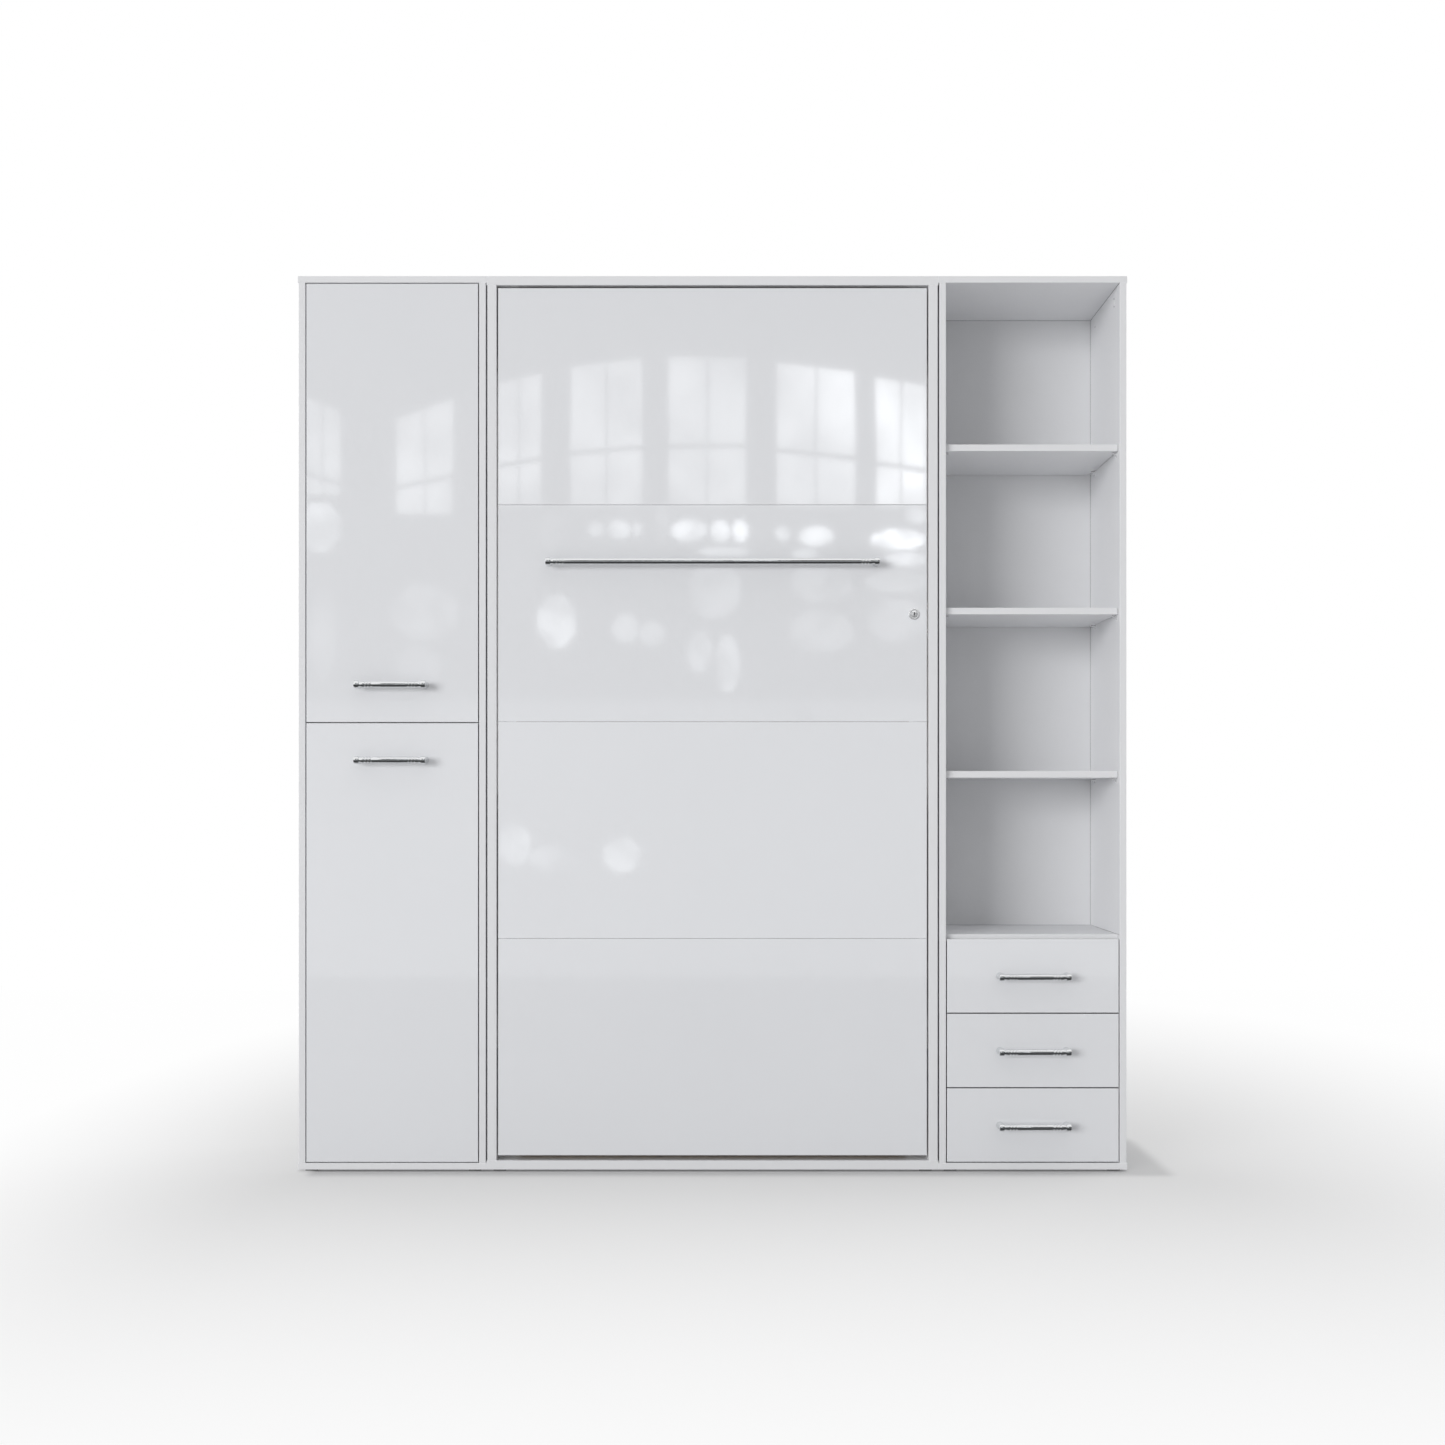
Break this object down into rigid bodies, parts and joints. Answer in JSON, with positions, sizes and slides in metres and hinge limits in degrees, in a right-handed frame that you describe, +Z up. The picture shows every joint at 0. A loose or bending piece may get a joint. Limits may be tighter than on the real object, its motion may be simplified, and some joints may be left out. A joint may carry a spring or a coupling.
{
  "type": "folding wall bed with cabinets",
  "caption": "White wall bed that folds down from a tall case on gas springs, between a two-door cabinet and an open shelf cabinet with drawers.",
  "frame": {"origin": "on the floor, in the middle of the box around the closed unit, from its handles to the wall", "axes": "+X to the right seen from the front, +Y from the fronts to the wall, +Z up"},
  "size_m": [2, 0.39, 2.16],
  "materials": {
    "white_gloss": "smooth high-gloss white lacquer on board",
    "white_melamine": "satin white melamine on board",
    "white_hardboard": "satin white coated hardboard",
    "drawer_board": "satin white wrapped board",
    "chrome": "polished chrome plate",
    "nickel_steel": "satin nickel plate",
    "zinc_steel": "zinc-plated sheet steel",
    "black_enamel": "black enamel, semi-gloss",
    "polished_rod": "ground and polished rod",
    "grey_enamel": "fine-textured silver-grey powder coat",
    "spruce": "planed spruce with a clear matt finish",
    "birch": "bent birch plywood, foil-smooth",
    "black_plastic": "moulded matt plastic",
    "mattress_ticking": "quilted knitted ticking over foam"
  },
  "bodies": {
    "carcass": {"left_cabinet_inner_side": "white_melamine", "left_cabinet_outer_side": "white_melamine", "left_cabinet_top": "white_melamine", "left_cabinet_bottom": "white_melamine", "left_cabinet_loose_shelves": "white_melamine", "right_cabinet_inner_side": "white_melamine", "right_cabinet_outer_side": "white_melamine", "right_cabinet_top": "white_melamine", "right_cabinet_bottom": "white_melamine", "right_cabinet_loose_shelves": "white_melamine", "left_cabinet_middle_shelf": "white_melamine", "right_cabinet_drawer_shelf": "white_melamine", "bed_case_left_side": "white_melamine", "bed_case_right_side": "white_melamine", "bed_case_top": "white_melamine", "bed_case_bottom": "white_melamine", "bed_case_back_rails": "white_melamine", "left_cabinet_back": "white_hardboard", "right_cabinet_back": "white_hardboard", "shelf_pins": "nickel_steel", "door_hinge_arms": "nickel_steel", "lock_strike": "nickel_steel", "cabinet_runners": "zinc_steel", "pivot_plates": "zinc_steel", "gas_spring_anchors": "zinc_steel", "glide_feet": "black_plastic"},
    "bed_leaf": {"front_board_1": "white_gloss", "front_board_2": "white_gloss", "front_board_3": "white_gloss", "front_board_4": "white_gloss", "bed_handle": "chrome", "lock_case": "chrome", "bed_side_rails": "spruce", "bed_end_rails": "spruce", "cross_battens": "spruce", "slats": "birch", "slat_holders": "black_plastic", "mattress": "mattress_ticking", "pivot_levers": "zinc_steel"},
    "lock_plug": {"lock_plug": "chrome"},
    "foot_bow": {"foot_bow": "grey_enamel"},
    "gas_spring_cylinder_left": {"gas_spring_cylinder_left": "black_enamel"},
    "gas_spring_cylinder_right": {"gas_spring_cylinder_right": "black_enamel"},
    "gas_spring_rod_left": {"gas_spring_rod_left": "polished_rod"},
    "gas_spring_rod_right": {"gas_spring_rod_right": "polished_rod"},
    "upper_door": {"upper_door": "white_gloss", "upper_door_handle": "chrome", "upper_door_hinge_cups": "nickel_steel"},
    "lower_door": {"lower_door": "white_gloss", "lower_door_handle": "chrome", "lower_door_hinge_cups": "nickel_steel"},
    "bottom_drawer": {"bottom_drawer_front": "white_gloss", "bottom_drawer_box": "drawer_board", "bottom_drawer_handle": "chrome"},
    "middle_drawer": {"middle_drawer_front": "white_gloss", "middle_drawer_box": "drawer_board", "middle_drawer_handle": "chrome"},
    "top_drawer": {"top_drawer_front": "white_gloss", "top_drawer_box": "drawer_board", "top_drawer_handle": "chrome"}
  },
  "joints": [
    {"name": "bed_fold", "type": "hinge", "parent": "carcass", "child": "bed_leaf", "pos_m": [0, -0.095, 0.22], "axis": [1, 0, 0], "range_deg": [0, 90]},
    {"name": "bow_swing", "type": "hinge", "parent": "bed_leaf", "child": "foot_bow", "pos_m": [0, -0.085, 2.075], "axis": [1, 0, 0], "range_deg": [0, 180]},
    {"name": "gas_spring_tilt_left", "type": "hinge", "parent": "carcass", "child": "gas_spring_cylinder_left", "pos_m": [-0.498, -0.005, 0.9], "axis": [1, 0, 0], "range_deg": [0, 5.7]},
    {"name": "gas_spring_stroke_left", "type": "slide", "parent": "gas_spring_cylinder_left", "child": "gas_spring_rod_left", "axis": [0, 0.0762, 0.9971], "range_m": [0, 0.1375]},
    {"name": "gas_spring_tilt_right", "type": "hinge", "parent": "carcass", "child": "gas_spring_cylinder_right", "pos_m": [0.498, -0.005, 0.9], "axis": [1, 0, 0], "range_deg": [0, 5.7]},
    {"name": "gas_spring_stroke_right", "type": "slide", "parent": "gas_spring_cylinder_right", "child": "gas_spring_rod_right", "axis": [0, 0.0762, 0.9971], "range_m": [0, 0.1375]},
    {"name": "lock_turn", "type": "hinge", "parent": "bed_leaf", "child": "lock_plug", "pos_m": [0.486, -0.155, 1.345], "axis": [0, -1, 0], "range_deg": [0, 90]},
    {"name": "upper_door_swing", "type": "hinge", "parent": "carcass", "child": "upper_door", "pos_m": [-0.9685, -0.148, 1.61288], "axis": [0, 0, -1], "range_deg": [0, 95]},
    {"name": "lower_door_swing", "type": "hinge", "parent": "carcass", "child": "lower_door", "pos_m": [-0.9685, -0.148, 0.55263], "axis": [0, 0, -1], "range_deg": [0, 95]},
    {"name": "bottom_drawer_slide", "type": "slide", "parent": "carcass", "child": "bottom_drawer", "axis": [0, -1, 0], "range_m": [0, 0.24]},
    {"name": "middle_drawer_slide", "type": "slide", "parent": "carcass", "child": "middle_drawer", "axis": [0, -1, 0], "range_m": [0, 0.24]},
    {"name": "top_drawer_slide", "type": "slide", "parent": "carcass", "child": "top_drawer", "axis": [0, -1, 0], "range_m": [0, 0.24]}
  ],
  "couplings": [
    {"joint": "bow_swing", "follows": "bed_fold", "ratio": 2},
    {"joint": "gas_spring_tilt_left", "follows": "bed_fold", "ratio": 0.063253},
    {"joint": "gas_spring_stroke_left", "follows": "bed_fold", "m_per_rad": 0.087293},
    {"joint": "gas_spring_tilt_right", "follows": "bed_fold", "ratio": 0.063253},
    {"joint": "gas_spring_stroke_right", "follows": "bed_fold", "m_per_rad": 0.087293}
  ]
}
